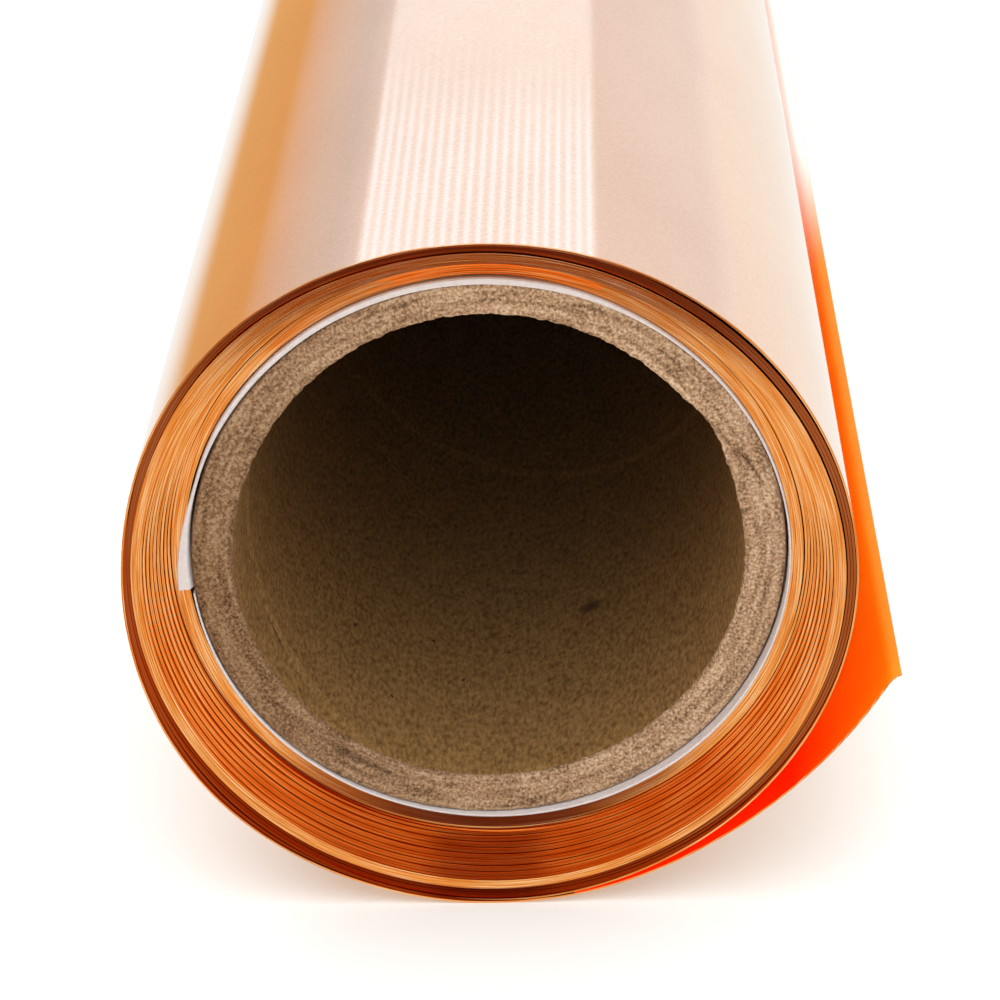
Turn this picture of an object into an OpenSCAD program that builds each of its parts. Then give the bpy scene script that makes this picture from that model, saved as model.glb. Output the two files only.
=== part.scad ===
// A roll of thin copper sheet, wound on a cardboard tube and lying on its side.
// Millimetres. The roll's axis runs along Y and its near end faces -Y. Z is up.
// The origin is on the axis, halfway along the tube.
// Every outline is drawn as it is seen from the near end, and laid down at the end.

/* [Tube] */
// Bore of the cardboard tube
bore_d = 38.1; // [25:0.1:80]
// Wall of the tube, of many glued plies
tube_wall = 3.1; // [1.5:0.1:6]
// How much longer the tube is than the sheet is wide
tube_extra = 0; // [-5:1:60]
// Wear that eases the two edges of the bore
mouth_ease = 0.5; // [0.1:0.1:1]

/* [Liner strip] */
// Thickness of the white strip on the tube
liner_t = 0.4; // [0.2:0.05:1]
// Slack between the tube and the strip, and between the strip and the first turn
wrap_slack = 0.06; // [0:0.01:0.3]
// How far the strip stands ahead of the tube's near end
liner_ahead = 0.6; // [0:0.1:3]
// How far the strip stops short of the tube's far end
liner_short = 0.6; // [0:0.1:5]
// Direction of the strip's start, anticlockwise from the right
liner_from = 205; // [0:1:359]
// How far round the tube the strip goes
liner_sweep = 339; // [90:1:350]

/* [Copper sheet] */
// Thickness of the sheet
sheet_t = 0.15; // [0.1:0.01:0.5]
// Width of the sheet, along the roll
sheet_w = 300; // [150:1:600]
// Turns of sheet on the roll
turns = 21; // [16:1:40]
// Air between one turn and the next
turn_slack = 0.065; // [0.05:0.005:0.2]
// Ease of the sheet's cut edges, but for the outer one that the roll lies on
edge_ease = 0.0325; // [0.02:0.0025:0.04]
// Depth of the line between two turns, at the roll's ends
line_depth = 0.3; // [0.1:0.05:1]

/* [Stepped ends] */
// How far the first turn stands ahead of the tube's near end
first_ahead = 0.2; // [0:0.05:3]
// Inner turns that lie flush with the first
flush_inner = 5; // [1:1:6]
// Step from each turn to the next, in the middle of the roll
turn_step = 0.46; // [0:0.02:1.2]
// Turns that lie flush again, outside the stepped ones
flush_outer = 4; // [0:1:5]
// Last turns, which are wound more loosely
loose_turns = 3; // [1:1:4]
// Step from each loose turn to the next
loose_step = 0.4; // [0:0.05:0.6]

/* [Free end] */
// Direction in which the sheet leaves the roll, anticlockwise from the right
tail_from = -95; // [-110:1:-70]
// How far round the sheet only hangs slack off the roll
slack_sweep = 32; // [20:1:45]
// How much wider than the roll the slack sheet curves
slack_open = 2; // [1:0.1:5]
// Length of the sheet that has sprung open beyond it
spring_len = 22.9; // [8:0.1:40]
// How much wider than the roll the sprung sheet curves
spring_open = 11.9; // [6:0.1:25]
// Width of the gap under the sprung sheet, where it starts
gap_start = 0.25; // [0.2:0.05:0.5]
// Length of the bent lip along the free edge
lip_len = 1.3; // [0.5:0.1:3]
// How far the lip is bent outward
lip_bend = 20; // [15:5:60]

/* [Hidden] */

$fn = 96;
bore_r = bore_d / 2;
tube_r = bore_r + tube_wall;
liner_r = tube_r + wrap_slack;
coil_r = liner_r + liner_t + wrap_slack;
tube_len = sheet_w + tube_extra;
tube_near = tube_len / 2;
liner_w = tube_len + liner_ahead - liner_short;
turn_pitch = sheet_t + turn_slack;
roll_r = coil_r + turns * turn_pitch - turn_slack;
stepped_turns = turns - flush_inner - flush_outer - loose_turns;
sheet_near = turn_near(turns - 1);

// The slack sheet curves about slack_middle, and the sprung sheet goes on from it about spring_middle
slack_r = roll_r + slack_open;
slack_middle = -slack_open * toward(tail_from);
slack_to = tail_from + slack_sweep;
spring_r = roll_r + spring_open;
spring_middle = slack_middle + (slack_r - spring_r) * toward(slack_to);
spring_to = slack_to + spring_len / spring_r * 180 / PI;
// The slack sheet's outer face shows from this direction on
slack_shows = tail_from + 6;
// The gap starts where the sprung sheet's inner face, gap_r from its middle, is gap_start off the roll
gap_r = spring_r - sheet_t;
gap_from = direction(spring_middle)
    - acos((pow(roll_r + gap_start, 2) - pow(norm(spring_middle), 2) - pow(gap_r, 2))
        / (2 * norm(spring_middle) * gap_r));
gap_corner = spring_middle + gap_r * toward(gap_from);
// Degrees of curve between two points of the sheet's outline
curve_step = 3;

function toward(angle) = [cos(angle), sin(angle)];

function direction(point) = atan2(point.y, point.x);

// Inner face of turn k, counted from 0 at the tube
function turn_r(k) = coil_r + k * turn_pitch;

// Near edge of turn k, along the roll
function turn_near(k) = tube_near + first_ahead
    + turn_step * min(max(k + 1 - flush_inner, 0), stepped_turns)
    + loose_step * max(k + 1 - (turns - loose_turns), 0);

// Far edge of turn k: the sheet is equally wide all along, so each step shows again at the other end
function turn_far(k) = turn_near(k) - sheet_w;

// Middle of the air between turn k and the next
function line_r(k) = turn_r(k) + sheet_t + turn_slack / 2;

function outer_ease(k) = k == turns - 1 ? 0 : edge_ease;

function near_turn_edge(k) = [
    [turn_r(k) + edge_ease, turn_near(k)],
    [turn_r(k) + sheet_t - outer_ease(k), turn_near(k)]
];

function near_line(k) = k == turns - 1 ? [] : [
    [line_r(k), min(turn_near(k), turn_near(k + 1)) - line_depth]
];

function far_turn_edge(k) = [
    [turn_r(k) + sheet_t - outer_ease(k), turn_far(k)],
    [turn_r(k) + edge_ease, turn_far(k)]
];

function far_line(k) = k == 0 ? [] : [
    [line_r(k - 1), max(turn_far(k - 1), turn_far(k)) + line_depth]
];

// Half of the coil's lengthwise section: out over the near edges, and back over the far ones
function coil_section() = concat(
    [[coil_r, turn_near(0) - edge_ease]],
    [for (k = [0 : turns - 1]) each concat(near_turn_edge(k), near_line(k))],
    [for (k = [turns - 1 : -1 : 0]) each concat(far_turn_edge(k), far_line(k))],
    [[coil_r, turn_far(0) + edge_ease]]
);

module tube_section() {
    polygon([
        [bore_r, mouth_ease - tube_near],
        [bore_r + mouth_ease, -tube_near],
        [tube_r, -tube_near],
        [tube_r, tube_near],
        [bore_r + mouth_ease, tube_near],
        [bore_r, tube_near - mouth_ease]
    ]);
}

// Points along a curve about a middle point, from one direction to another
function curve(middle, r, from, to) =
    let (steps = ceil(abs(to - from) / curve_step))
    [for (i = [0 : steps]) middle + r * toward(from + (to - from) * i / steps)];

// A point within the thickness of the last turn
function root(angle) = (roll_r - sheet_t / 2) * toward(angle);

// The lip's two corners, at the end of the sprung sheet
function lip_end() =
    let (middle = spring_middle + (spring_r - sheet_t / 2) * toward(spring_to))
    let (tip = middle + lip_len * toward(spring_to + 90 - lip_bend))
    [for (side = [1, -1]) tip + side * sheet_t / 2 * toward(spring_to - lip_bend)];

// Out along the outer face to the lip, and back along the inner one
module tail_section() {
    polygon(concat(
        [root(tail_from)],
        curve(slack_middle, slack_r, slack_shows, slack_to),
        curve(spring_middle, spring_r, slack_to + curve_step, spring_to),
        lip_end(),
        curve(spring_middle, gap_r, spring_to, gap_from),
        [root(direction(gap_corner))]
    ));
}

module tail() {
    translate([0, 0, sheet_near - sheet_w])
        linear_extrude(height = sheet_w)
            tail_section();
}

// Turns a thing drawn from the near end, with the roll's axis up, onto its side
module lay_down() {
    rotate([90, 0, 0])
        children();
}

module core_tube() {
    color("tan")
        lay_down()
            rotate_extrude()
                tube_section();
}

module liner_strip() {
    color("gainsboro")
        lay_down()
            translate([0, 0, tube_near + liner_ahead - liner_w])
                rotate(liner_from)
                    rotate_extrude(angle = liner_sweep)
                        translate([liner_r, 0])
                            square([liner_t, liner_w]);
}

module copper_sheet() {
    color("coral")
        lay_down() {
            rotate_extrude()
                polygon(coil_section());
            tail();
        }
}

core_tube();
liner_strip();
copper_sheet();
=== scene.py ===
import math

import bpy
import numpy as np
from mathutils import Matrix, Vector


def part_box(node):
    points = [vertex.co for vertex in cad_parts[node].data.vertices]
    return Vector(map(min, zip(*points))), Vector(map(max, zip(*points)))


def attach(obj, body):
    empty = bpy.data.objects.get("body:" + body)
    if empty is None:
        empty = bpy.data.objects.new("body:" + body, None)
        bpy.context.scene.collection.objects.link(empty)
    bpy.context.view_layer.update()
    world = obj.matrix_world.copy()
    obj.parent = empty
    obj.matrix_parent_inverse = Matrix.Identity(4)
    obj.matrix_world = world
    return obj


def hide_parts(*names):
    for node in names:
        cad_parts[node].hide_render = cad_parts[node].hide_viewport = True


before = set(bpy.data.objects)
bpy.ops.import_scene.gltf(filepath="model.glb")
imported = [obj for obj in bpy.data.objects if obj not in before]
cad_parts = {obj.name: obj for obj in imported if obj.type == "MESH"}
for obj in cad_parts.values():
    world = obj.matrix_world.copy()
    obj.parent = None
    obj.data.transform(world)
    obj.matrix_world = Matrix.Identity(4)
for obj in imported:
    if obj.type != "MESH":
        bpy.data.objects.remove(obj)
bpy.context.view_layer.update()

# A roll of thin copper sheet, wound on a cardboard tube over a white foam strip, and lying on its side.
# Shapes are worked out in millimetres, as seen from the roll's near end, and the meshes are in metres.
# A direction is in degrees, anticlockwise from the right.
# A place along the roll is how far it stands ahead of the tube's near end, towards the camera.

MM = 0.001
TUBE_LOW, TUBE_HIGH = [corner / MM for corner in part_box("core_tube")]
LINER_LOW, LINER_HIGH = [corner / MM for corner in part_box("liner_strip")]
SHEET_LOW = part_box("copper_sheet")[0] / MM

# Sizes taken from the frame
TUBE_R = TUBE_HIGH.x
TUBE_NEAR = -TUBE_LOW.y
TUBE_LEN = TUBE_HIGH.y - TUBE_LOW.y
BORE_R = 19.05
ROLL_R = -SHEET_LOW.x
LINER_AHEAD = -LINER_LOW.y - TUBE_NEAR
LINER_LEN = LINER_HIGH.y - LINER_LOW.y
FLOOR_Z = SHEET_LOW.z

# The copper sheet
SHEET_T = 0.15
SHEET_W = 300
STEPS_A_TURN = 144

# Directions of the top and the bottom of the roll
TOP, BOTTOM = 90, 270


def smooth(low, high, value):
    """0 up to low, 1 from high on, and an even curve between them."""
    share = np.clip((np.asarray(value, float) - low) / (high - low), 0, 1)
    return share * share * (3 - 2 * share)


def bump(middle, half_width, direction):
    """1 at a middle direction, falling evenly to 0 on both sides of it."""
    away = np.abs((np.asarray(direction, float) - middle + 180) % 360 - 180)
    return 1 - smooth(0, half_width, away)


def round_the_roll(direction, right, upper_right, top, upper_left, left, lower_left, bottom, lower_right):
    """A size at any direction, from its values at the eight main ones."""
    sizes = np.array([right, upper_right, top, upper_left, left, lower_left, bottom, lower_right])
    count = len(sizes)
    place = np.asarray(direction, float) % 360 / (360 / count)
    before = np.floor(place).astype(int)
    share = smooth(0, 1, place - before)
    return sizes[before % count] * (1 - share) + sizes[(before + 1) % count] * share


def waver(value, length, seed):
    """An uneven wave between -1 and 1, of about the given wavelength."""
    turn = 2 * math.pi * np.asarray(value, float) / length
    return (np.sin(turn + seed) + np.sin(1.618 * turn + 2.3 * seed) + np.sin(2.414 * turn + 3.7 * seed)) / 3


def toward(direction):
    """The way that a direction points."""
    angle = np.radians(direction)
    return np.stack([np.cos(angle), np.sin(angle)], -1)


# How the sheet is wound. A place on it is given in turns from its inner end.
INNER_END = 181
TAIL_FROM = -95
TURNS = 23 + (TAIL_FROM % 360 - INNER_END) / 360
# The turns change at the bottom of the roll: flush ones, a slipped one, stepped ones, flush ones again,
# loose ones, and the last one
SLIPPED_FROM = 5 + (BOTTOM - INNER_END) / 360
STEPPED_FROM = 6 + (BOTTOM - INNER_END) / 360
FLUSH_FROM = 15 + (BOTTOM - INNER_END) / 360
LOOSE_FROM = 19 + (BOTTOM - INNER_END) / 360
LAST_FROM = 22 + (BOTTOM - INNER_END) / 360
CHANGE = 0.12
SLIPPED_BACK = 0.12
LOOSE_BACK = 0.35


def direction_at(turn):
    """The direction of a place on the sheet."""
    return INNER_END + 360 * turn


def between(turn, start, end):
    """1 on the turns from start to end, with a short change at both."""
    return smooth(start - CHANGE, start + CHANGE, turn) * (1 - smooth(end - CHANGE, end + CHANGE, turn))


def first_face(direction):
    """Inner face of the first turn, which lies on the foam strip."""
    return round_the_roll(direction, 22.46, 22.5, 22.85, 22.75, 22.52, 22.36, 22.32, 22.4)


def first_stepped_face(direction):
    """Inner face of the first stepped turn, which stands clear of the flush turns."""
    return round_the_roll(direction, 23.62, 23.5, 23.72, 23.85, 23.62, 23.36, 23.22, 23.4)


def last_face(direction):
    """Inner face of the last turn."""
    return round_the_roll(direction, 27.14, 27.08, 26.97, 27.26, 26.7, 27.1, 26.9, 27.0)


def air_under(turn):
    """Air between a turn and the one it lies on, where nothing lifts it further."""
    around = direction_at(turn)
    tight = 0.01 + 0.006 * waver(turn, 0.37, 1)
    stepped = round_the_roll(around, 0.045, 0.04, 0.03, 0.03, 0.055, 0.075, 0.08, 0.05)
    stepped = stepped * (1 + 0.45 * waver(turn, 1.7, 4))
    crevice = 0.22 * bump(131, 36, around)
    crevice_from = FLUSH_FROM - 7
    loose = round_the_roll(around, 0.05, 0.04, 0.03, 0.03, 0.0, 0.05, 0.06, 0.06)
    parting = 0.16 * bump(0, 85, around)
    return (
        tight
        + stepped * between(turn, STEPPED_FROM, FLUSH_FROM)
        + crevice * between(turn, crevice_from, crevice_from + 1)
        + loose * between(turn, LOOSE_FROM, TURNS + 1)
        + parting * between(turn, LOOSE_FROM, LOOSE_FROM + 1)
    )


def inner_faces(turns):
    """Radius of the sheet's inner face, all along: each turn lies on the one before, or is lifted off it."""
    # The first turn climbs onto its own start, and the last one goes out to where the free end leaves it
    climbs_from = 0.85
    climb = SHEET_T + air_under(1.0)
    last_climb = 0.25
    meets_tail_over = 0.6
    under_stepped = 0.02
    directions = direction_at(turns)
    radius = np.empty(len(turns))
    for i, turn in enumerate(turns):
        if i < STEPS_A_TURN:
            radius[i] = first_face(directions[i]) + climb * smooth(climbs_from, 1, turn)
            continue
        radius[i] = radius[i - STEPS_A_TURN] + SHEET_T + air_under(turn)
        if SLIPPED_FROM < turn < STEPPED_FROM:
            radius[i] = max(radius[i], first_stepped_face(directions[i]) - SHEET_T - under_stepped)
        if STEPPED_FROM < turn < STEPPED_FROM + 1:
            radius[i] = max(radius[i], first_stepped_face(directions[i]))
        if turn > LAST_FROM:
            wound = (turn - LAST_FROM) / (TURNS - LAST_FROM)
            radius[i] = max(radius[i], last_face(directions[i]) - last_climb * (1 - wound))
    meets_tail = ROLL_R - SHEET_T - radius[-1]
    return radius + meets_tail * smooth(TURNS - meets_tail_over, TURNS, turns)


def burr(radius):
    """How far the slit edge stands out, all along the sheet: over most of the air up to the next turn."""
    widest = 0.09
    filled = 0.56
    air = np.maximum(radius[STEPS_A_TURN:] - radius[:-STEPS_A_TURN] - SHEET_T, 0)
    return np.append(np.minimum(filled * air, widest), np.zeros(STEPS_A_TURN))


def last_ahead(direction):
    """How far the near edge of the last turn stands ahead: that turn lies a little askew on the others."""
    angle = np.radians(direction)
    return 4.87 - 0.64 * np.cos(angle) - 0.17 * np.sin(angle)


def ahead(turn):
    """How far the near edge stands ahead."""
    flush_inside = 0.2
    flush_outside = 4.38
    share = np.clip((turn - STEPPED_FROM) / (FLUSH_FROM - STEPPED_FROM), 0, 1)
    edge = flush_inside + (flush_outside - flush_inside) * share
    edge = edge + 0.035 * waver(turn, 0.31, 2) + 0.03 * waver(turn, 1.3, 5)
    edge = edge - LOOSE_BACK * between(turn, LOOSE_FROM, LAST_FROM)
    edge = edge - SLIPPED_BACK * between(turn, SLIPPED_FROM, STEPPED_FROM)
    last = smooth(LAST_FROM - 0.3, LAST_FROM + 0.1, turn)
    return edge * (1 - last) + last_ahead(direction_at(turn)) * last


def edge_slope(turn):
    """How much further back the cut edge is at its inner corner, or at its outer one where it is negative:
    the innermost turns were rubbed, and their edges lean upward."""
    most = 0.055
    upward = -np.sin(np.radians(direction_at(turn)))
    return most * upward * (1 - smooth(STEPPED_FROM - CHANGE, STEPPED_FROM + CHANGE, turn))


def edge_painted_shade(turn):
    """How far the cut edge is painted brown, as painted shade: on the loose turns, which stand back between
    their neighbours, low on the inner ones, and low at the left on the slipped one.
    """
    around = direction_at(turn)
    loose = between(turn, LOOSE_FROM, LAST_FROM) * (0.9 + 0.1 * waver(turn, 0.9, 6))
    inner = 1 - smooth(SLIPPED_FROM - CHANGE, SLIPPED_FROM + CHANGE, turn)
    slipped = between(turn, SLIPPED_FROM, STEPPED_FROM)
    return loose + 0.85 * inner * bump(BOTTOM, 60, around) + 0.9 * slipped * bump(240, 80, around)


# The free end: the sheet hangs slack off the roll, springs open, and ends in a bent lip
SLACK_SWEEP = 32
SLACK_OPEN = 2
SPRING_LEN = 22.9
SPRING_OPEN = 11.9
LIP_LEN = 1.3
LIP_BEND = 33


def free_end():
    """Points in the middle of the free sheet, the way that its outer face looks, and their directions."""
    curve_steps = 24
    bend_steps = 5
    slack_r = ROLL_R + SLACK_OPEN
    spring_r = ROLL_R + SPRING_OPEN
    slack_to = TAIL_FROM + SLACK_SWEEP
    spring_to = slack_to + math.degrees(SPRING_LEN / spring_r)
    slack_middle = -SLACK_OPEN * toward(TAIL_FROM)
    spring_middle = slack_middle + (slack_r - spring_r) * toward(slack_to)
    slack = np.linspace(TAIL_FROM, slack_to, curve_steps + 1)[1:]
    spring = np.linspace(slack_to, spring_to, curve_steps + 1)[1:]
    bend = np.linspace(0, LIP_BEND, bend_steps + 1)[1:]
    points = [slack_middle + (slack_r - SHEET_T / 2) * toward(slack)]
    points.append(spring_middle + (spring_r - SHEET_T / 2) * toward(spring))
    tip = points[-1][-1]
    lip = []
    for angle in bend:
        tip = tip + LIP_LEN / len(bend) * toward(spring_to + 90 - angle)
        lip.append(tip)
    points.append(np.array(lip))
    outward = np.concatenate([toward(slack), toward(spring), toward(spring_to - bend)])
    points = np.concatenate(points)
    directions = np.degrees(np.arctan2(points[:, 1], points[:, 0]))
    return points, outward, directions


def make_piece(name, points, faces, materials, finish=None, darkening=None, sharp=40):
    """A mesh from points in millimetres, each (right, up, ahead of the tube's near end). It has sharp edges
    where its faces turn by more than the given angle."""
    points = np.asarray(points, float)
    places = np.stack([points[:, 0], -TUBE_NEAR - points[:, 2], points[:, 1]], -1) * MM
    mesh = bpy.data.meshes.new(name)
    mesh.from_pydata(places.tolist(), [], faces)
    for material in materials:
        mesh.materials.append(material)
    if finish is not None:
        mesh.polygons.foreach_set("material_index", finish)
    if darkening is not None:
        mesh.attributes.new("darkening", "FLOAT", "POINT").data.foreach_set("value", darkening)
    mesh.shade_smooth()
    mesh.set_sharp_from_angle(angle=math.radians(sharp))
    mesh.validate()
    piece = bpy.data.objects.new(name, mesh)
    bpy.context.scene.collection.objects.link(piece)
    return piece


def swept(sections, closed, finish_of_side):
    """Faces that join each section's ring of points to the next one's, with plain ends to an open sweep."""
    count, ring = sections.shape[:2]
    faces, finish = [], []
    for i in range(count if closed else count - 1):
        here, there = i * ring, (i + 1) % count * ring
        for side in range(ring):
            after = (side + 1) % ring
            faces.append((here + side, here + after, there + after, there + side))
            finish.append(finish_of_side[side])
    if not closed:
        faces.append(tuple(range(ring)[::-1]))
        faces.append(tuple((count - 1) * ring + side for side in range(ring)))
        finish += [finish_of_side[0]] * 2
    return faces, finish


def sheet_sections(turns):
    """The sheet's sections, from its inner end to its lip, and how far the cut edge is painted brown, as
    painted shade, at each of them.
    """
    wound_outward = toward(direction_at(turns))
    wound_radius = inner_faces(turns)
    wound_middle = wound_outward * (wound_radius + SHEET_T / 2)[:, None]
    free_points, free_outward, free_directions = free_end()
    middle = np.concatenate([wound_middle, free_points])
    outward = np.concatenate([wound_outward, free_outward])
    near = np.concatenate([ahead(turns), last_ahead(free_directions)])
    free = (0, len(free_points))
    slope = np.pad(edge_slope(turns), free)
    stands_out = np.pad(burr(wound_radius), free)
    # How far each section's cut edge is painted brown, as painted shade
    darkening = np.pad(edge_painted_shade(turns), free)
    # Each section runs out over the near edge, back along the outside, over the far edge and along the inside
    inner = np.full(len(near), -SHEET_T / 2)
    outer = np.full(len(near), SHEET_T / 2)
    lean_in = np.maximum(slope, 0)
    lean_out = np.maximum(-slope, 0)
    eased = 0.012
    burr_len = 0.2
    far = np.maximum(near - SHEET_W, -TUBE_LEN)
    corners = [
        (inner, near - lean_in),
        (outer + stands_out - eased, near - lean_out),
        (outer + stands_out, near - lean_out - eased),
        (outer, near - lean_out - burr_len),
        (outer, far),
        (inner, far),
    ]
    sections = [np.column_stack([middle + outward * across[:, None], along]) for across, along in corners]
    return np.stack(sections, 1), darkening


# The sheet's finishes, in the order of its materials
OUTSIDE, INSIDE, CUT_EDGE, TINTED_INSIDE = range(4)


def copper_sheet(outside, inside, cut_edge, tinted_inside):
    """The whole sheet: its turns and its free end, in one long strip."""
    turns = np.append(np.arange(0, TURNS, 1 / STEPS_A_TURN), TURNS)
    sections, darkening = sheet_sections(turns)
    finishes = [CUT_EDGE, CUT_EDGE, CUT_EDGE, OUTSIDE, CUT_EDGE, INSIDE]
    faces, finish = swept(sections, False, finishes)
    # The film starts this many sections after the sheet leaves the roll
    film_from = 12
    first_tinted_face = (len(turns) + film_from) * len(finishes)
    for face in range(first_tinted_face, len(finish)):
        if finish[face] == INSIDE:
            finish[face] = TINTED_INSIDE
    darkening_per_point = np.repeat(darkening, len(finishes))
    points = sections.reshape(-1, 3)
    materials = [outside, inside, cut_edge, tinted_inside]
    edge_angle = 25
    piece = make_piece("wound_copper_sheet", points, faces, materials, finish, darkening_per_point, edge_angle)
    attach(piece, "root")
    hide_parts("copper_sheet")
    return piece


def tube_end(direction, radius):
    """How far the tube's end stands ahead: it is cut out of square, dented at the right, and its plies part
    at the lower left."""
    angle = np.radians(direction)
    skew = -0.6 * np.cos(angle) + 0.18 * np.sin(angle)
    dent_r = 20.2
    dent = -0.7 * bump(20, 15, direction) * (1 - smooth(0.2, 1.5, np.abs(radius - dent_r)))
    ply_r = 20.15
    parted = -0.5 * bump(-123, 22, direction) * (1 - smooth(0.05, 0.22, np.abs(radius - ply_r)))
    fibres = 0.05 * waver(direction, 7, radius) + 0.03 * waver(direction, 2.3, 2 * radius)
    return skew + dent + parted + fibres + crease(direction, radius)


def crease(direction, radius):
    """A crease in the pressed end, from the bore's rim at the right outward and down, with a raised side."""
    inner_r, outer_r = 19.4, 21.2
    inner_direction, outer_direction = 31, 15
    share = (radius - inner_r) / (outer_r - inner_r)
    line = inner_direction + (outer_direction - inner_direction) * share
    across = np.radians(direction - line) * radius
    within = smooth(-0.15, 0.1, share) * (1 - smooth(0.8, 1.1, share))
    raised = 0.22 * np.exp(-((across - 0.45) / 0.4) ** 2)
    pressed = 0.4 * np.exp(-(across / 0.22) ** 2)
    return within * (raised - pressed)


def worn_bore(directions):
    """Radius of the bore at the near end: frayed all round, dented at the right and worn wider at the top."""
    frayed = 0.06 * waver(directions, 9, 1) + 0.05 * waver(directions, 3.1, 2)
    dented = 0.35 * bump(33, 12, directions) - 0.1 * bump(12, 12, directions)
    worn = 0.62 * bump(95, 65, directions)
    return BORE_R + frayed + dented + worn


# The tube's finishes, in the order of its materials
WOUND, SAWN = range(2)


def core_tube(board, sawn_board):
    """The cardboard tube. Its sections run over the sawn near end, through the bore and over the far end."""
    steps = 720
    directions = np.arange(steps) * 360 / steps
    bore = worn_bore(directions)
    near_rim = [(TUBE_R, -3.0), (TUBE_R, -0.4), (TUBE_R - 0.12, -0.05)]
    near_rim += [(radius, 0.0) for radius in np.arange(21.9, 20.05, -0.12)]
    bore_rim = [(0.26, 0.0), (0.1, -0.1), (0.0, -0.4), (0.0, -1.5)]
    bore_places = (-4, -8, -14, -22, -32, -50, -75, -100, -150, -200, -250, -290)
    far_rim = [(BORE_R, 0.45), (BORE_R + 0.12, 0.1), (BORE_R + 0.4, 0), (TUBE_R - 0.12, 0), (TUBE_R, 0.2)]
    sections = []
    for radius, offset in near_rim:
        along = tube_end(directions, radius) * smooth(-3, -0.3, offset) + offset
        sections.append((np.full(steps, radius), along))
    for wider, offset in bore_rim:
        along = tube_end(directions, BORE_R + wider) * smooth(-3, -0.3, offset) + offset
        sections.append((bore + wider, along))
    for place in bore_places:
        sections.append((np.full(steps, BORE_R), np.full(steps, float(place))))
    for radius, along in far_rim:
        sections.append((np.full(steps, radius), np.full(steps, along - TUBE_LEN)))
    around = toward(directions)
    rings = [np.column_stack([around * radius[:, None], along]) for radius, along in sections]
    rings = np.stack(rings, 1)
    sawn_sides = len(near_rim) + 1
    wound_sides = len(sections) - sawn_sides - 1
    faces, finish = swept(rings, True, [WOUND] + [SAWN] * sawn_sides + [WOUND] * wound_sides)
    points = rings.reshape(-1, 3)
    ply_points, ply_faces = ply_edge(len(points))
    points = np.concatenate([points, ply_points])
    finish += [WOUND] * len(ply_faces)
    # The sawn end is made darker round the left
    darker_round_left = np.repeat(bump(193, 125, directions), len(sections))
    darker_round_left = np.append(darker_round_left, np.zeros(len(ply_points)))
    piece = make_piece("wound_board_tube", points, faces + ply_faces, [board, sawn_board], finish, darker_round_left)
    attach(piece, "root")
    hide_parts("core_tube")


def ply_edge(first):
    """The edge of the innermost paper ply, which winds along the bore as a low step. Its first point has the
    given number."""
    meets_end = -112
    pitch = 59
    step = 0.14
    width = 2.5
    lengths = np.arange(-6, -TUBE_LEN + 6, -0.8)
    lengths = np.concatenate([[-1.2, -2.5, -4], lengths])
    directions = meets_end + lengths * 360 / pitch
    across = math.degrees(width / BORE_R)
    sections = []
    for turned, above_bore in ((0, -0.05), (0, step), (-across, -0.02)):
        place = toward(directions + turned) * (BORE_R - above_bore)
        sections.append(np.column_stack([place, lengths]))
    sections = np.stack(sections, 1)
    faces, _ = swept(sections, False, [0] * 3)
    faces = [tuple(first + corner for corner in face) for face in faces]
    return sections.reshape(-1, 3), faces


def foam_strip(foam):
    """The white strip round the tube. Its loose end at the left turns outward, over the copper's edges."""
    start, end = 187, 546
    directions = np.arange(start, end + 1.0)
    around = toward(directions)
    gap = round_the_roll(directions, 0.12, 0.06, 0.03, 0.04, 0.02, 0.0, 0.0, 0.0)
    # The strip's start lies on the tube, and its end lifts off the tube a little before it turns out
    lies_to = 250
    gap = np.where(directions < lies_to, 0.0, gap)
    gap = gap + 0.12 * smooth(500, 520, directions) * (1 - smooth(530, end, directions))
    inner = TUBE_R + 0.01 + gap
    thick = 0.3 + 0.25 * bump(TOP, 110, directions)
    thick = thick * (0.45 + 0.55 * smooth(start, start + 50, directions))
    behind = np.minimum(inner + thick, first_face(directions) - 0.03)
    turned_out = smooth(522, 549, directions)
    outer = behind + 0.95 * turned_out
    near = LINER_AHEAD - 0.04 + 0.04 * waver(directions, 40, 1) - 0.25 * bump(BOTTOM, 70, directions)
    inner_near = inner + 0.25 * turned_out
    far = np.full(len(directions), LINER_AHEAD - LINER_LEN)
    ease = np.minimum(0.1, (behind - inner) / 3)
    # The turned-out part passes this far ahead of the tube's end, clear of the first turns
    clear = np.full(len(directions), 0.3)
    level = np.zeros(len(directions))
    corners = [
        (inner, level), (inner_near, near - ease), (inner_near + ease, near),
        (outer - ease, near), (outer, near - ease), (outer, clear + 0.02),
        (behind, clear), (behind, far), (inner, far),
    ]
    sections = [np.column_stack([around * radius[:, None], along]) for radius, along in corners]
    sections = np.stack(sections, 1)
    faces, _ = swept(sections, False, [0] * len(corners))
    piece = make_piece("white_foam_strip", sections.reshape(-1, 3), faces, [foam])
    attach(piece, "root")
    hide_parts("liner_strip")


def linear(colour):
    """An sRGB hex colour as the linear numbers that a shader takes."""
    parts = [int(colour[i:i + 2], 16) / 255 for i in (0, 2, 4)]
    return [part / 12.92 if part <= 0.04045 else ((part + 0.055) / 1.055) ** 2.4 for part in parts] + [1]


def add_node(tree, kind, settings=None, sockets=None, stops=()):
    """Adds a node with its settings, links or fills its sockets, and puts (place, colour) stops on a ramp."""
    node = tree.nodes.new("ShaderNode" + kind)
    for name, value in (settings or {}).items():
        setattr(node, name, value)
    for name, value in (sockets or {}).items():
        if isinstance(value, bpy.types.NodeSocket):
            tree.links.new(value, node.inputs[name])
        else:
            node.inputs[name].default_value = value
    for number, (place, colour) in enumerate(stops):
        if number > 1:
            node.color_ramp.elements.new(place)
        node.color_ramp.elements[number].position = place
        node.color_ramp.elements[number].color = colour
    return node


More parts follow.
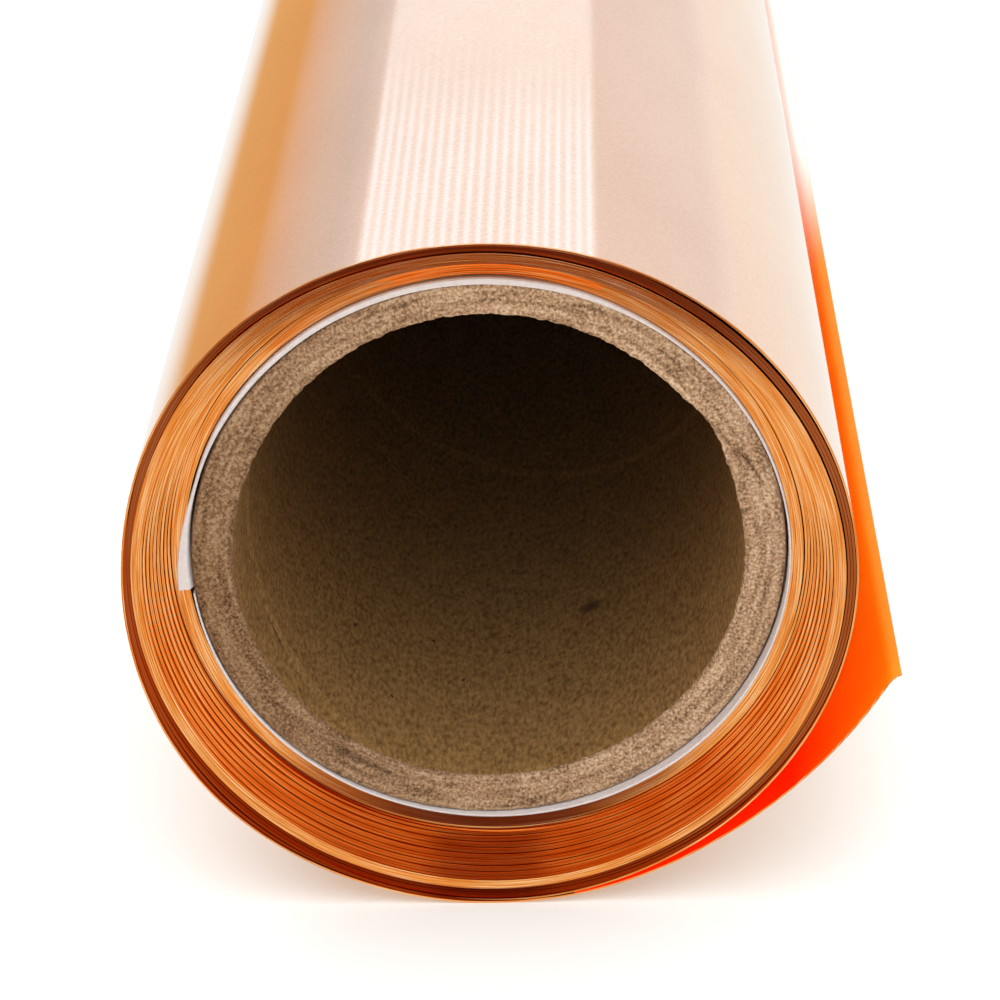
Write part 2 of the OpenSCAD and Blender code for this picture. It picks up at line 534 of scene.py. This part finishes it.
def new_material(name):
    """An empty material, its node tree, and the place on the object."""
    material = bpy.data.materials.new(name)
    material.use_nodes = True
    tree = material.node_tree
    tree.nodes.clear()
    return material, tree, add_node(tree, "TexCoord").outputs["Object"]


def uneven(tree, place, size, detail=3.0, stretch=(1, 1, 1)):
    """A soft pattern of patches of about a size in millimetres, or that times stretch along each axis."""
    scale = [1 / (size * MM * part) for part in stretch]
    scaled = add_node(tree, "VectorMath", {"operation": "MULTIPLY"}, {0: place, 1: scale})
    return add_node(tree, "TexNoise", sockets={
        "Vector": scaled.outputs[0],
        "Scale": 1.0,
        "Detail": detail,
        "Roughness": 0.6,
    }).outputs["Fac"]


def drawn_round(tree, place, around, across, detail=3.0):
    """A soft pattern of streaks that run round the roll, of about these lengths and widths in millimetres."""
    middle_r = 24
    flat = add_node(tree, "VectorMath", {"operation": "MULTIPLY"}, {0: place, 1: (1, 0, 1)}).outputs[0]
    way = add_node(tree, "VectorMath", {"operation": "NORMALIZE"}, {0: flat}).outputs[0]
    radius = add_node(tree, "VectorMath", {"operation": "LENGTH"}, {0: flat}).outputs["Value"]
    outward = add_node(tree, "CombineXYZ", sockets={"Y": radius}).outputs[0]
    round_part = add_node(tree, "VectorMath", {"operation": "SCALE"}, {0: way, "Scale": middle_r / around})
    streaks = add_node(tree, "VectorMath", {"operation": "MULTIPLY_ADD"}, {
        0: outward,
        1: (0, 1 / (across * MM), 0),
        2: round_part.outputs[0],
    })
    return add_node(tree, "TexNoise", sockets={
        "Vector": streaks.outputs[0],
        "Scale": 1.0,
        "Detail": detail,
        "Roughness": 0.6,
    }).outputs["Fac"]


def copper_face(name, pale, deep, roughness, peel_height):
    """A face of the sheet. Its pale and deep tints drift in clouds, and an orange peel breaks up what it
    mirrors."""
    material, tree, place = new_material(name)
    # The real peel is too fine to show, so it is drawn 0.3 mm wide
    peel = uneven(tree, place, 0.3)
    sockets = {"Strength": 1.0, "Distance": peel_height * MM, "Height": peel}
    relief = add_node(tree, "Bump", sockets=sockets).outputs["Normal"]
    clouds = uneven(tree, place, 22, stretch=(1, 2, 1))
    both = add_node(tree, "Math", {"operation": "ADD"}, {0: clouds, 1: peel}).outputs[0]
    stops = [(0.38, linear(deep)), (0.62, linear(pale))]
    half = add_node(tree, "Math", {"operation": "MULTIPLY"}, {0: both, 1: 0.5}).outputs[0]
    colour = add_node(tree, "ValToRGB", sockets={"Fac": half}, stops=stops)
    smear = add_node(tree, "MapRange", sockets={
        "Value": clouds,
        "From Min": 0.3,
        "From Max": 0.7,
        "To Min": roughness * 0.85,
        "To Max": roughness * 1.15,
    })
    shader = add_node(tree, "BsdfPrincipled", sockets={
        "Base Color": colour.outputs["Color"],
        "Metallic": 1.0,
        "Roughness": smear.outputs["Result"],
        "Normal": relief,
    })
    add_node(tree, "OutputMaterial", sockets={"Surface": shader.outputs["BSDF"]})
    return material


def bright_rolled_copper():
    """The outside of the sheet, as polished mill rolls left it: a clear pink mirror with a faint grain."""
    return copper_face("bright_rolled_copper", "FED6BE", "EEC3A9", roughness=0.06, peel_height=0.0015)


def annealed_copper():
    """The inside of the sheet, which annealing left bright and a deep orange. Where it faces other copper,
    light goes to and fro between the two and turns redder each time."""
    return copper_face("annealed_copper", "FFB870", "FFAE66", roughness=0.1, peel_height=0.001)


def fire_tint_with_painted_red():
    """The inside of the free end, where the furnace air left a satin film: orange at the tip, and thinner and
    paler towards the back. Low down it is painted red: painted light, for the light that reddens as it
    bounces between the free end and the roll."""
    material, tree, place = new_material("fire_tint_with_painted_red")
    film = uneven(tree, place, 6)
    red_below, orange_above = -17, -6.5
    fades_from, faded_to = -76, -34
    stops = [(0.3, linear("FF7E00")), (0.7, linear("FF8A08"))]
    colour = add_node(tree, "ValToRGB", sockets={"Fac": film}, stops=stops).outputs["Color"]
    parts = add_node(tree, "SeparateXYZ", sockets={0: place}).outputs
    # Painted light: red low down, for the light that reddens as it bounces between the free end and the roll
    bounce_red_share = add_node(tree, "MapRange", sockets={
        "Value": parts["Z"],
        "From Min": red_below * MM,
        "From Max": orange_above * MM,
        "To Min": 1.0,
        "To Max": 0.0,
    }).outputs[0]
    sockets = {"Fac": bounce_red_share, "Color1": colour, "Color2": linear("FF2400")}
    colour = add_node(tree, "MixRGB", sockets=sockets).outputs[0]
    faded = add_node(tree, "MapRange", {"interpolation_type": "SMOOTHSTEP"}, {
        "Value": parts["Y"],
        "From Min": fades_from * MM,
        "From Max": faded_to * MM,
        "To Min": 0.0,
        "To Max": 1.0,
    }).outputs[0]
    sockets = {"Fac": faded, "Color1": colour, "Color2": linear("FFFCFA")}
    colour = add_node(tree, "MixRGB", sockets=sockets).outputs[0]
    shader = add_node(tree, "BsdfPrincipled", sockets={
        "Base Color": colour,
        "Metallic": 0.3,
        "Roughness": 0.35,
        "Specular IOR Level": 0.25,
    })
    add_node(tree, "OutputMaterial", sockets={"Surface": shader.outputs["BSDF"]})
    return material


def slit_copper_edge():
    """The sheet's edge as the slitting knives left it: copper drawn into fine streaks, with painted shade:
    brown paint where shade falls on the edge."""
    material, tree, place = new_material("slit_copper_edge")
    # Real streaks are too fine to show, so they are drawn 0.09 mm wide
    streaks = drawn_round(tree, place, around=5, across=0.09)
    sockets = {"Strength": 1.0, "Distance": 0.0015 * MM, "Height": streaks}
    relief = add_node(tree, "Bump", sockets=sockets).outputs["Normal"]
    stops = [(0.3, linear("D46614")), (0.48, linear("F29642")), (0.68, linear("FFCC94"))]
    colour = add_node(tree, "ValToRGB", sockets={"Fac": streaks}, stops=stops).outputs["Color"]
    # Painted shade: the edge is mixed toward brown as far as its points say
    darkening = add_node(tree, "Attribute", {"attribute_name": "darkening"}).outputs["Fac"]
    colour = add_node(tree, "MixRGB", sockets={"Fac": darkening, "Color1": colour, "Color2": linear("9A441C")})
    shader = add_node(tree, "BsdfPrincipled", sockets={
        "Base Color": colour.outputs[0],
        "Metallic": 1.0,
        "Roughness": 0.14,
        "Normal": relief,
    })
    add_node(tree, "OutputMaterial", sockets={"Surface": shader.outputs["BSDF"]})
    return material


def spiral_wound_kraft_board():
    """Grey-brown kraft board, wound from glued paper plies: dull, felted from short fibres, with a few dark
    specks."""
    material, tree, place = new_material("spiral_wound_kraft_board")
    mottle = uneven(tree, place, 2.2)
    stops = [(0.3, linear("7C562C")), (0.7, linear("987240"))]
    colour = add_node(tree, "ValToRGB", sockets={"Fac": mottle}, stops=stops).outputs["Color"]
    # Real fibres are too fine to show, so they are drawn 0.3 mm wide
    fibres = uneven(tree, place, 0.3, stretch=(1, 2.5, 1))
    stops = [(0.3, linear("5E3E1C")), (0.7, linear("B88E54"))]
    felt = add_node(tree, "ValToRGB", sockets={"Fac": fibres}, stops=stops).outputs["Color"]
    colour = add_node(tree, "MixRGB", sockets={"Fac": 0.7, "Color1": colour, "Color2": felt}).outputs[0]
    specks = uneven(tree, place, 0.7, detail=2.0, stretch=(1, 2, 1))
    dark = add_node(tree, "MapRange", sockets={
        "Value": specks,
        "From Min": 0.24,
        "From Max": 0.29,
        "To Min": 1.0,
        "To Max": 0.0,
    })
    sockets = {"Fac": dark.outputs[0], "Color1": colour, "Color2": linear("3E2C1E")}
    colour = add_node(tree, "MixRGB", sockets=sockets).outputs[0]
    # A scuff low on the right of the bore
    scuff_place = (7.75 * MM, -125 * MM, -17.4 * MM)
    to_scuff = {0: place, 1: scuff_place}
    away = add_node(tree, "VectorMath", {"operation": "DISTANCE"}, to_scuff).outputs["Value"]
    scuff = add_node(tree, "MapRange", sockets={
        "Value": away,
        "From Min": 0.4 * MM,
        "From Max": 1.3 * MM,
        "To Min": 0.7,
        "To Max": 0.0,
    }).outputs[0]
    sockets = {"Fac": scuff, "Color1": colour, "Color2": linear("2A1C14")}
    colour = add_node(tree, "MixRGB", sockets=sockets).outputs[0]
    sockets = {"Strength": 1.0, "Distance": 0.07 * MM, "Height": fibres}
    relief = add_node(tree, "Bump", sockets=sockets).outputs["Normal"]
    shader = add_node(tree, "BsdfPrincipled", sockets={
        "Base Color": colour,
        "Roughness": 0.9,
        "Specular IOR Level": 0.25,
        "Normal": relief,
    })
    add_node(tree, "OutputMaterial", sockets={"Surface": shader.outputs["BSDF"]})
    return material


def sawn_kraft_board():
    """The tube's end as the saw left it: torn, fuzzy paper whose plies only just show, and darker round the
    left.
    """
    material, tree, place = new_material("sawn_kraft_board")
    plies = drawn_round(tree, place, around=5, across=0.5, detail=1.0)
    # Torn fibres are too fine to show, so they are drawn 0.22 mm wide
    torn = uneven(tree, place, 0.22)
    sockets = {"Fac": 0.7, "Color1": plies, "Color2": torn}
    both = add_node(tree, "MixRGB", sockets=sockets).outputs[0]
    stops = [(0.36, linear("664E38")), (0.5, linear("AE8866")), (0.64, linear("D4B898"))]
    colour = add_node(tree, "ValToRGB", sockets={"Fac": both}, stops=stops).outputs["Color"]
    # The end's colour is made darker round the left
    left_darkening = add_node(tree, "Attribute", {"attribute_name": "darkening"}).outputs["Fac"]
    sockets = {"Fac": left_darkening, "Color1": colour, "Color2": linear("BCB0A0")}
    colour = add_node(tree, "MixRGB", {"blend_type": "MULTIPLY"}, sockets).outputs[0]
    sockets = {"Strength": 1.0, "Distance": 0.05 * MM, "Height": both}
    relief = add_node(tree, "Bump", sockets=sockets).outputs["Normal"]
    shader = add_node(tree, "BsdfPrincipled", sockets={
        "Base Color": colour,
        "Roughness": 0.95,
        "Specular IOR Level": 0.2,
        "Normal": relief,
    })
    add_node(tree, "OutputMaterial", sockets={"Surface": shader.outputs["BSDF"]})
    return material


def extruded_polyethylene_foam():
    """Closed-cell polyethylene foam, extruded as a thin white strip: soft and matt, with hardly any cells."""
    material, tree, place = new_material("extruded_polyethylene_foam")
    cells = uneven(tree, place, 0.5, detail=2.0)
    stops = [(0.3, linear("D6CCC8")), (0.7, linear("E2DAD6"))]
    colour = add_node(tree, "ValToRGB", sockets={"Fac": cells}, stops=stops)
    sockets = {"Strength": 1.0, "Distance": 0.008 * MM, "Height": cells}
    relief = add_node(tree, "Bump", sockets=sockets).outputs["Normal"]
    shader = add_node(tree, "BsdfPrincipled", sockets={
        "Base Color": colour.outputs["Color"],
        "Roughness": 0.6,
        "Normal": relief,
    })
    add_node(tree, "OutputMaterial", sockets={"Surface": shader.outputs["BSDF"]})
    return material


def white_painted_floor():
    """Matt white paint, which takes the roll's shadow and the warm light that the copper throws on it. In the
    copper it mirrors as an even white."""
    material, tree, _ = new_material("white_painted_floor")
    paint = add_node(tree, "BsdfPrincipled", sockets={
        "Base Color": linear("FDF9F3"),
        "Roughness": 0.9,
        "Specular IOR Level": 0.1,
    })
    even = add_node(tree, "Emission", sockets={"Color": linear("FFFFF9"), "Strength": 0.97})
    mirrored = add_node(tree, "LightPath").outputs["Is Glossy Ray"]
    mixed = add_node(tree, "MixShader", sockets={0: mirrored, 1: paint.outputs[0], 2: even.outputs[0]})
    add_node(tree, "OutputMaterial", sockets={"Surface": mixed.outputs[0]})
    return material


def level_corners(left, right, near, far, height):
    """Corners of a level face."""
    return [(left, near, height), (right, near, height), (right, far, height), (left, far, height)]


def upright_corners(left, right, place, bottom, top):
    """Corners of an upright face, square to the roll's axis."""
    return [(left, place, bottom), (right, place, bottom), (right, place, top), (left, place, top)]


def plain_plane(name, corners, material):
    """A flat face of the studio, from corners in millimetres."""
    mesh = bpy.data.meshes.new(name)
    mesh.from_pydata([[part * MM for part in corner] for corner in corners], [], [range(len(corners))])
    mesh.materials.append(material)
    plane = bpy.data.objects.new(name, mesh)
    bpy.context.scene.collection.objects.link(plane)
    return plane


# The floor reaches this far to each side
FLOOR_HALF = 9000


def studio_floor():
    """The plain pale floor that the roll lies on."""
    corners = level_corners(-FLOOR_HALF, FLOOR_HALF, -FLOOR_HALF, FLOOR_HALF, FLOOR_Z)
    plain_plane("floor", corners, white_painted_floor())


def mirrored_card(name, corners, colour, starts, full):
    """A card that only the copper mirrors. Its colour comes in between two places across, in millimetres."""
    material, tree, place = new_material(name)
    across = add_node(tree, "SeparateXYZ", sockets={0: place}).outputs["X"]
    share = add_node(tree, "MapRange", {"interpolation_type": "SMOOTHSTEP"}, {
        "Value": across,
        "From Min": starts * MM,
        "From Max": full * MM,
        "To Min": 0.0,
        "To Max": 1.0,
    })
    glow = add_node(tree, "Emission", sockets={"Color": colour, "Strength": 1.0})
    clear = add_node(tree, "BsdfTransparent")
    sockets = {0: share.outputs[0], 1: clear.outputs[0], 2: glow.outputs[0]}
    mixed = add_node(tree, "MixShader", sockets=sockets)
    add_node(tree, "OutputMaterial", sockets={"Surface": mixed.outputs[0]})
    card = plain_plane(name, corners, material)
    card.visible_camera = False
    card.visible_diffuse = False
    card.visible_shadow = False


# The cards on the floor lie a little above it. Their light is given in linear numbers.
CARD_Z = FLOOR_Z + 0.3
WARM = (0.785, 0.445, 0.165, 1)
DARK = (0.27, 0.16, 0.18, 1)
DIM = (0.6, 0.5, 0.42, 1)


def warm_card():
    """A warm card on the floor at the left, which begins softly a little way off the roll."""
    right, left = -48, -FLOOR_HALF
    fully_warm = -99
    near, far = -170, FLOOR_HALF
    corners = level_corners(left, right, near, far, CARD_Z)
    mirrored_card("warm_card", corners, WARM, right, fully_warm)


def dark_stand():
    """The camera and its stand, as the roll's end mirrors them: a dark mat on the floor, a dark upright
    behind it, and a dim room behind that."""
    left, right = -43, 35
    near_roll, stand = -258, -367
    high = 175
    mat = level_corners(left, right, stand, near_roll, CARD_Z)
    mirrored_card("dark_mat", mat, DARK, left - 1, left)
    upright = upright_corners(left, right, stand, CARD_Z, high)
    mirrored_card("dark_upright", upright, DARK, left - 1, left)
    left, right, room = -105, 105, -372
    wall = upright_corners(left, right, room, CARD_Z, high)
    mirrored_card("dim_room", wall, DIM, left - 1, left)


def overhead_lamp():
    """A soft light from above, for the floor, the board and the foam. The copper mirrors only the studio."""
    data = bpy.data.lights.new("overhead_lamp", "SUN")
    data.energy = 1.5
    data.color = (1.0, 0.96, 0.9)
    data.angle = math.radians(100)
    lamp = bpy.data.objects.new("overhead_lamp", data)
    lamp.visible_glossy = False
    bpy.context.scene.collection.objects.link(lamp)


def tail_lamp(sheet):
    """A soft light from the camera's side, for the satin film under the free end. It falls on the sheet
    alone."""
    data = bpy.data.lights.new("tail_lamp", "SUN")
    data.energy = 6.5
    data.angle = math.radians(15)
    lamp = bpy.data.objects.new("tail_lamp", data)
    lamp.rotation_euler = (math.radians(90 - CAMERA_DOWN), 0, 0)
    lamp.visible_glossy = False
    lit = bpy.data.collections.new("lit_by_tail_lamp")
    lit.objects.link(sheet)
    lamp.light_linking.receiver_collection = lit
    bpy.context.scene.collection.objects.link(lamp)


# The studio light, by its direction round the roll's axis: 0 is up and 90 is to the right.
# A long soft panel hangs over the roll, with brighter tubes behind the part of it nearer to the camera.
PANEL_FROM, PANEL_TO = -45.5, 34
PANEL_EDGE = 0.6
PANEL_LIGHT = (1.03, 1.14, 1.2)
TUBE_LIGHT = (1.3, 1.5, 1.8)
TUBE_COUNT = 21
# A ramp holds no more than 1, so it holds the light divided by this
LIGHT_SCALE = 2.0
# In degrees from the roll's axis, where the mirrored tubes end and where they are fully bright
TUBES_END, TUBES_FULL = 18.6, 20.2


def light_stops(panel):
    """The studio's light at each direction, as stops on a ramp from -180 to 180 degrees."""
    directions = [
        (-180, (1.0, 1.0, 1.0)),
        (-98, (1.0, 1.0, 1.0)),
        (-97, (0.785, 0.43, 0.14)),
        (-91, (0.785, 0.47, 0.19)),
        (-84, (0.8, 0.56, 0.36)),
        (-78, (0.79, 0.6, 0.47)),
        (-68, (0.76, 0.68, 0.6)),
        (-54, (0.73, 0.73, 0.73)),
        (PANEL_FROM - PANEL_EDGE, (0.84, 0.84, 0.84)),
        (PANEL_FROM + PANEL_EDGE, panel),
        (PANEL_TO - PANEL_EDGE, panel),
        (PANEL_TO + PANEL_EDGE, (0.88, 0.88, 0.88)),
        (80, (0.88, 0.88, 0.88)),
        (95, (1.0, 1.0, 1.0)),
    ]
    return [(angle / 360 + 0.5, [part / LIGHT_SCALE for part in light] + [1]) for angle, light in directions]


def studio_tubes(tree, turned, along):
    """1 on the tubes and 0 between them: evenly spaced over the panel, and only shown near to the camera."""
    pitch = math.radians(PANEL_TO - PANEL_FROM) / TUBE_COUNT
    start = math.radians(PANEL_FROM)
    offset = add_node(tree, "Math", {"operation": "SUBTRACT"}, {0: turned, 1: start}).outputs[0]
    wave = add_node(tree, "Math", {"operation": "PINGPONG"}, {0: offset, 1: pitch / 2}).outputs[0]
    tube = add_node(tree, "MapRange", {"interpolation_type": "SMOOTHSTEP"}, {
        "Value": wave,
        "From Min": 0.22 * pitch,
        "From Max": 0.38 * pitch,
    }).outputs[0]
    cone = add_node(tree, "Math", {"operation": "ARCCOSINE"}, {0: along}).outputs[0]
    shown = add_node(tree, "MapRange", {"interpolation_type": "SMOOTHSTEP"}, {
        "Value": cone,
        "From Min": math.radians(TUBES_END),
        "From Max": math.radians(TUBES_FULL),
    }).outputs[0]
    return add_node(tree, "Math", {"operation": "MULTIPLY"}, {0: tube, 1: shown}).outputs[0]


def studio_light():
    """The light that falls on the roll and shows in the copper. The camera itself sees plain white."""
    world = bpy.data.worlds.new("soft_studio")
    bpy.context.scene.world = world
    world.use_nodes = True
    tree = world.node_tree
    tree.nodes.clear()
    way = add_node(tree, "TexCoord").outputs["Generated"]
    parts = add_node(tree, "SeparateXYZ", sockets={0: way}).outputs
    turned = add_node(tree, "Math", {"operation": "ARCTAN2"}, {0: parts["X"], 1: parts["Z"]}).outputs[0]
    sockets = {"Value": turned, "From Min": -math.pi, "From Max": math.pi}
    by_direction = {"Fac": add_node(tree, "MapRange", sockets=sockets).outputs[0]}
    stops = light_stops(PANEL_LIGHT)
    plain = add_node(tree, "ValToRGB", sockets=by_direction, stops=stops).outputs["Color"]
    stops = light_stops(TUBE_LIGHT)
    bright = add_node(tree, "ValToRGB", sockets=by_direction, stops=stops).outputs["Color"]
    tubes = studio_tubes(tree, turned, parts["Y"])
    light = add_node(tree, "MixRGB", sockets={"Fac": tubes, "Color1": plain, "Color2": bright}).outputs[0]
    studio = add_node(tree, "Background", sockets={"Color": light, "Strength": LIGHT_SCALE})
    white = add_node(tree, "Background", sockets={"Color": (1, 1, 1, 1), "Strength": 1.0})
    seen = add_node(tree, "LightPath").outputs["Is Camera Ray"]
    mixed = add_node(tree, "MixShader", sockets={0: seen, 1: studio.outputs[0], 2: white.outputs[0]})
    add_node(tree, "OutputWorld", sockets={"Surface": mixed.outputs[0]})


# The camera stands a little to the right of the roll's axis, and looks down along it
CAMERA_PLACE = (5.94, -367.6, 112.1)
CAMERA_DOWN = 26.24
CAMERA_LEFT = 1.2
CAMERA_LENS = 118.5
SENSOR = 36


def camera():
    """The camera, at the place that the photo was taken from."""
    data = bpy.data.cameras.new("camera")
    data.lens = CAMERA_LENS
    data.sensor_width = SENSOR
    data.clip_start = 0.01
    data.clip_end = 50
    seat = bpy.data.objects.new("camera", data)
    bpy.context.scene.collection.objects.link(seat)
    down = Matrix.Rotation(math.radians(90 - CAMERA_DOWN), 4, "X")
    left = Matrix.Rotation(math.radians(CAMERA_LEFT), 4, "Y")
    seat.matrix_world = Matrix.Translation([part * MM for part in CAMERA_PLACE]) @ down @ left
    bpy.context.scene.camera = seat


camera()
studio_floor()
warm_card()
dark_stand()
overhead_lamp()
studio_light()
tail_lamp(copper_sheet(bright_rolled_copper(), annealed_copper(), slit_copper_edge(), fire_tint_with_painted_red()))
core_tube(spiral_wound_kraft_board(), sawn_kraft_board())
foam_strip(extruded_polyethylene_foam())
bpy.context.scene.view_settings.view_transform = "Standard"
# Light goes many times to and fro between the turns, and under the free end
BOUNCES = 80
bpy.context.scene.cycles.max_bounces = BOUNCES
bpy.context.scene.cycles.glossy_bounces = BOUNCES
